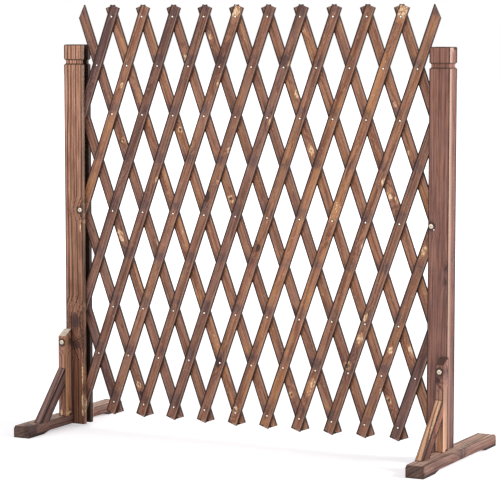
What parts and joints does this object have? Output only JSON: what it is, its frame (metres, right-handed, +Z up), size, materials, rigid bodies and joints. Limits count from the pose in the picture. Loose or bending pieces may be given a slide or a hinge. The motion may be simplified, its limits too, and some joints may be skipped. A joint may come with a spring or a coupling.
{
  "type": "expandable wooden fence",
  "caption": "Free-standing folding fence: a riveted wooden scissor lattice hung between two grooved posts on braced crosswise feet.",
  "frame": {"origin": "on the floor, under the middle of the lattice, midway between the two posts", "axes": "+X along the fence to the right as the picture shows it, +Y to the back, away from the braces, +Z up"},
  "size_m": [1.1024, 0.45, 1.0695],
  "materials": {
    "lattice_wood": "scorched softwood, sawn and lightly brushed",
    "post_wood": "scorched softwood, planed",
    "stand_wood": "scorched softwood, planed",
    "steel": "zinc plated"
  },
  "bodies": {
    "left_stand": {"left_post": "post_wood", "left_foot": "stand_wood", "left_upright": "stand_wood", "left_brace": "stand_wood", "left_lattice_bolt": "steel", "left_lattice_nut": "steel", "left_upright_bolt": "steel", "left_upright_nut": "steel", "left_post_screw": "steel", "left_upright_screw": "steel", "left_brace_foot_screw": "steel", "left_brace_top_screw": "steel"},
    "right_stand": {"right_post": "post_wood", "right_foot": "stand_wood", "right_upright": "stand_wood", "right_brace": "stand_wood", "right_lattice_bolt": "steel", "right_lattice_nut": "steel", "right_upright_bolt": "steel", "right_upright_nut": "steel", "right_post_screw": "steel", "right_upright_screw": "steel", "right_brace_foot_screw": "steel", "right_brace_top_screw": "steel", "right_post_nail": "steel"},
    "front_slat_01": {"front_slat_01": "lattice_wood"},
    "rear_slat_01": {"rear_slat_01": "lattice_wood"},
    "front_slat_02": {"front_slat_02": "lattice_wood"},
    "rear_slat_02": {"rear_slat_02": "lattice_wood"},
    "front_slat_03": {"front_slat_03": "lattice_wood"},
    "rear_slat_03": {"rear_slat_03": "lattice_wood"},
    "front_slat_04": {"front_slat_04": "lattice_wood"},
    "rear_slat_04": {"rear_slat_04": "lattice_wood"},
    "front_slat_05": {"front_slat_05": "lattice_wood"},
    "rear_slat_05": {"rear_slat_05": "lattice_wood"},
    "front_slat_06": {"front_slat_06": "lattice_wood"},
    "rear_slat_06": {"rear_slat_06": "lattice_wood"},
    "front_slat_07": {"front_slat_07": "lattice_wood"},
    "rear_slat_07": {"rear_slat_07": "lattice_wood"},
    "front_slat_08": {"front_slat_08": "lattice_wood"},
    "rear_slat_08": {"rear_slat_08": "lattice_wood"},
    "front_slat_09": {"front_slat_09": "lattice_wood"},
    "rear_slat_09": {"rear_slat_09": "lattice_wood"},
    "front_slat_10": {"front_slat_10": "lattice_wood"},
    "rear_slat_10": {"rear_slat_10": "lattice_wood"},
    "front_slat_11": {"front_slat_11": "lattice_wood"},
    "rear_slat_11": {"rear_slat_11": "lattice_wood"},
    "front_slat_12": {"front_slat_12": "lattice_wood"},
    "rear_slat_12": {"rear_slat_12": "lattice_wood"},
    "front_slat_13": {"front_slat_13": "lattice_wood"},
    "rear_slat_13": {"rear_slat_13": "lattice_wood"},
    "front_slat_14": {"front_slat_14": "lattice_wood"},
    "rear_slat_14": {"rear_slat_14": "lattice_wood"}
  },
  "joints": [
    {"name": "lattice_opening", "type": "hinge", "parent": "left_stand", "child": "rear_slat_02", "pos_m": [-0.4795, 0, 0.554], "axis": [0, -1, 0], "range_deg": [-13.5, 22]},
    {"name": "front_slat_02_pivot", "type": "hinge", "parent": "left_stand", "child": "front_slat_02", "pos_m": [-0.4795, 0, 0.554], "axis": [0, -1, 0], "range_deg": [-22, 13.5]},
    {"name": "front_slat_04_pivot", "type": "hinge", "parent": "rear_slat_02", "child": "front_slat_04", "pos_m": [-0.39232, 0, 0.31118], "axis": [0, -1, 0], "range_deg": [-44, 27]},
    {"name": "front_slat_05_pivot", "type": "hinge", "parent": "rear_slat_02", "child": "front_slat_05", "pos_m": [-0.34873, 0, 0.18976], "axis": [0, -1, 0], "range_deg": [-44, 27]},
    {"name": "front_slat_06_pivot", "type": "hinge", "parent": "rear_slat_02", "child": "front_slat_06", "pos_m": [-0.30514, 0, 0.06835], "axis": [0, -1, 0], "range_deg": [-44, 27]},
    {"name": "rear_slat_03_pivot", "type": "hinge", "parent": "front_slat_06", "child": "rear_slat_03", "pos_m": [-0.26155, 0, 0.18976], "axis": [0, -1, 0], "range_deg": [-27, 44]},
    {"name": "rear_slat_04_pivot", "type": "hinge", "parent": "front_slat_06", "child": "rear_slat_04", "pos_m": [-0.21796, 0, 0.31118], "axis": [0, -1, 0], "range_deg": [-27, 44]},
    {"name": "rear_slat_06_pivot", "type": "hinge", "parent": "front_slat_06", "child": "rear_slat_06", "pos_m": [-0.13077, 0, 0.554], "axis": [0, -1, 0], "range_deg": [-27, 44]},
    {"name": "rear_slat_08_pivot", "type": "hinge", "parent": "front_slat_06", "child": "rear_slat_08", "pos_m": [-0.04359, 0, 0.79682], "axis": [0, -1, 0], "range_deg": [-27, 44]},
    {"name": "rear_slat_09_pivot", "type": "hinge", "parent": "front_slat_06", "child": "rear_slat_09", "pos_m": [0, 0, 0.91824], "axis": [0, -1, 0], "range_deg": [-27, 44]},
    {"name": "rear_slat_10_pivot", "type": "hinge", "parent": "front_slat_06", "child": "rear_slat_10", "pos_m": [0.04359, 0, 1.03965], "axis": [0, -1, 0], "range_deg": [-27, 44]},
    {"name": "rear_slat_05_pivot", "type": "hinge", "parent": "front_slat_05", "child": "rear_slat_05", "pos_m": [-0.21796, 0, 0.554], "axis": [0, -1, 0], "range_deg": [-27, 44]},
    {"name": "rear_slat_07_pivot", "type": "hinge", "parent": "front_slat_05", "child": "rear_slat_07", "pos_m": [-0.13077, 0, 0.79682], "axis": [0, -1, 0], "range_deg": [-27, 44]},
    {"name": "rear_slat_01_pivot", "type": "hinge", "parent": "front_slat_05", "child": "rear_slat_01", "pos_m": [-0.39232, 0, 0.06835], "axis": [0, -1, 0], "range_deg": [-27, 44]},
    {"name": "front_slat_03_pivot", "type": "hinge", "parent": "rear_slat_03", "child": "front_slat_03", "pos_m": [-0.39232, 0, 0.554], "axis": [0, -1, 0], "range_deg": [-44, 27]},
    {"name": "front_slat_01_pivot", "type": "hinge", "parent": "rear_slat_04", "child": "front_slat_01", "pos_m": [-0.43591, 0, 0.91824], "axis": [0, -1, 0], "range_deg": [-44, 27]},
    {"name": "front_slat_07_pivot", "type": "hinge", "parent": "rear_slat_10", "child": "front_slat_07", "pos_m": [0.08718, 0, 0.91824], "axis": [0, -1, 0], "range_deg": [-44, 27]},
    {"name": "front_slat_08_pivot", "type": "hinge", "parent": "rear_slat_10", "child": "front_slat_08", "pos_m": [0.13077, 0, 0.79682], "axis": [0, -1, 0], "range_deg": [-44, 27]},
    {"name": "front_slat_10_pivot", "type": "hinge", "parent": "rear_slat_10", "child": "front_slat_10", "pos_m": [0.21796, 0, 0.554], "axis": [0, -1, 0], "range_deg": [-44, 27]},
    {"name": "front_slat_12_pivot", "type": "hinge", "parent": "rear_slat_10", "child": "front_slat_12", "pos_m": [0.30514, 0, 0.31118], "axis": [0, -1, 0], "range_deg": [-44, 27]},
    {"name": "front_slat_13_pivot", "type": "hinge", "parent": "rear_slat_10", "child": "front_slat_13", "pos_m": [0.34873, 0, 0.18976], "axis": [0, -1, 0], "range_deg": [-44, 27]},
    {"name": "front_slat_14_pivot", "type": "hinge", "parent": "rear_slat_10", "child": "front_slat_14", "pos_m": [0.39232, 0, 0.06835], "axis": [0, -1, 0], "range_deg": [-44, 27]},
    {"name": "front_slat_09_pivot", "type": "hinge", "parent": "rear_slat_09", "child": "front_slat_09", "pos_m": [0.13077, 0, 0.554], "axis": [0, -1, 0], "range_deg": [-44, 27]},
    {"name": "front_slat_11_pivot", "type": "hinge", "parent": "rear_slat_09", "child": "front_slat_11", "pos_m": [0.21796, 0, 0.31118], "axis": [0, -1, 0], "range_deg": [-44, 27]},
    {"name": "rear_slat_11_pivot", "type": "hinge", "parent": "front_slat_08", "child": "rear_slat_11", "pos_m": [0.17436, 0, 0.91824], "axis": [0, -1, 0], "range_deg": [-27, 44]},
    {"name": "rear_slat_12_pivot", "type": "hinge", "parent": "front_slat_10", "child": "rear_slat_12", "pos_m": [0.30514, 0, 0.79682], "axis": [0, -1, 0], "range_deg": [-27, 44]},
    {"name": "rear_slat_13_pivot", "type": "hinge", "parent": "front_slat_10", "child": "rear_slat_13", "pos_m": [0.34873, 0, 0.91824], "axis": [0, -1, 0], "range_deg": [-27, 44]},
    {"name": "rear_slat_14_pivot", "type": "hinge", "parent": "front_slat_10", "child": "rear_slat_14", "pos_m": [0.39232, 0, 1.03965], "axis": [0, -1, 0], "range_deg": [-27, 44]},
    {"name": "right_stand_pivot", "type": "hinge", "parent": "front_slat_13", "child": "right_stand", "pos_m": [0.4795, 0, 0.554], "axis": [0, -1, 0], "range_deg": [-13.5, 22]}
  ],
  "couplings": [
    {"joint": "front_slat_02_pivot", "follows": "lattice_opening", "ratio": -1},
    {"joint": "front_slat_04_pivot", "follows": "lattice_opening", "ratio": -2},
    {"joint": "front_slat_05_pivot", "follows": "lattice_opening", "ratio": -2},
    {"joint": "front_slat_06_pivot", "follows": "lattice_opening", "ratio": -2},
    {"joint": "rear_slat_03_pivot", "follows": "lattice_opening", "ratio": 2},
    {"joint": "rear_slat_04_pivot", "follows": "lattice_opening", "ratio": 2},
    {"joint": "rear_slat_06_pivot", "follows": "lattice_opening", "ratio": 2},
    {"joint": "rear_slat_08_pivot", "follows": "lattice_opening", "ratio": 2},
    {"joint": "rear_slat_09_pivot", "follows": "lattice_opening", "ratio": 2},
    {"joint": "rear_slat_10_pivot", "follows": "lattice_opening", "ratio": 2},
    {"joint": "rear_slat_05_pivot", "follows": "lattice_opening", "ratio": 2},
    {"joint": "rear_slat_07_pivot", "follows": "lattice_opening", "ratio": 2},
    {"joint": "rear_slat_01_pivot", "follows": "lattice_opening", "ratio": 2},
    {"joint": "front_slat_03_pivot", "follows": "lattice_opening", "ratio": -2},
    {"joint": "front_slat_01_pivot", "follows": "lattice_opening", "ratio": -2},
    {"joint": "front_slat_07_pivot", "follows": "lattice_opening", "ratio": -2},
    {"joint": "front_slat_08_pivot", "follows": "lattice_opening", "ratio": -2},
    {"joint": "front_slat_10_pivot", "follows": "lattice_opening", "ratio": -2},
    {"joint": "front_slat_12_pivot", "follows": "lattice_opening", "ratio": -2},
    {"joint": "front_slat_13_pivot", "follows": "lattice_opening", "ratio": -2},
    {"joint": "front_slat_14_pivot", "follows": "lattice_opening", "ratio": -2},
    {"joint": "front_slat_09_pivot", "follows": "lattice_opening", "ratio": -2},
    {"joint": "front_slat_11_pivot", "follows": "lattice_opening", "ratio": -2},
    {"joint": "rear_slat_11_pivot", "follows": "lattice_opening", "ratio": 2},
    {"joint": "rear_slat_12_pivot", "follows": "lattice_opening", "ratio": 2},
    {"joint": "rear_slat_13_pivot", "follows": "lattice_opening", "ratio": 2},
    {"joint": "rear_slat_14_pivot", "follows": "lattice_opening", "ratio": 2},
    {"joint": "right_stand_pivot", "follows": "lattice_opening", "ratio": 1}
  ]
}
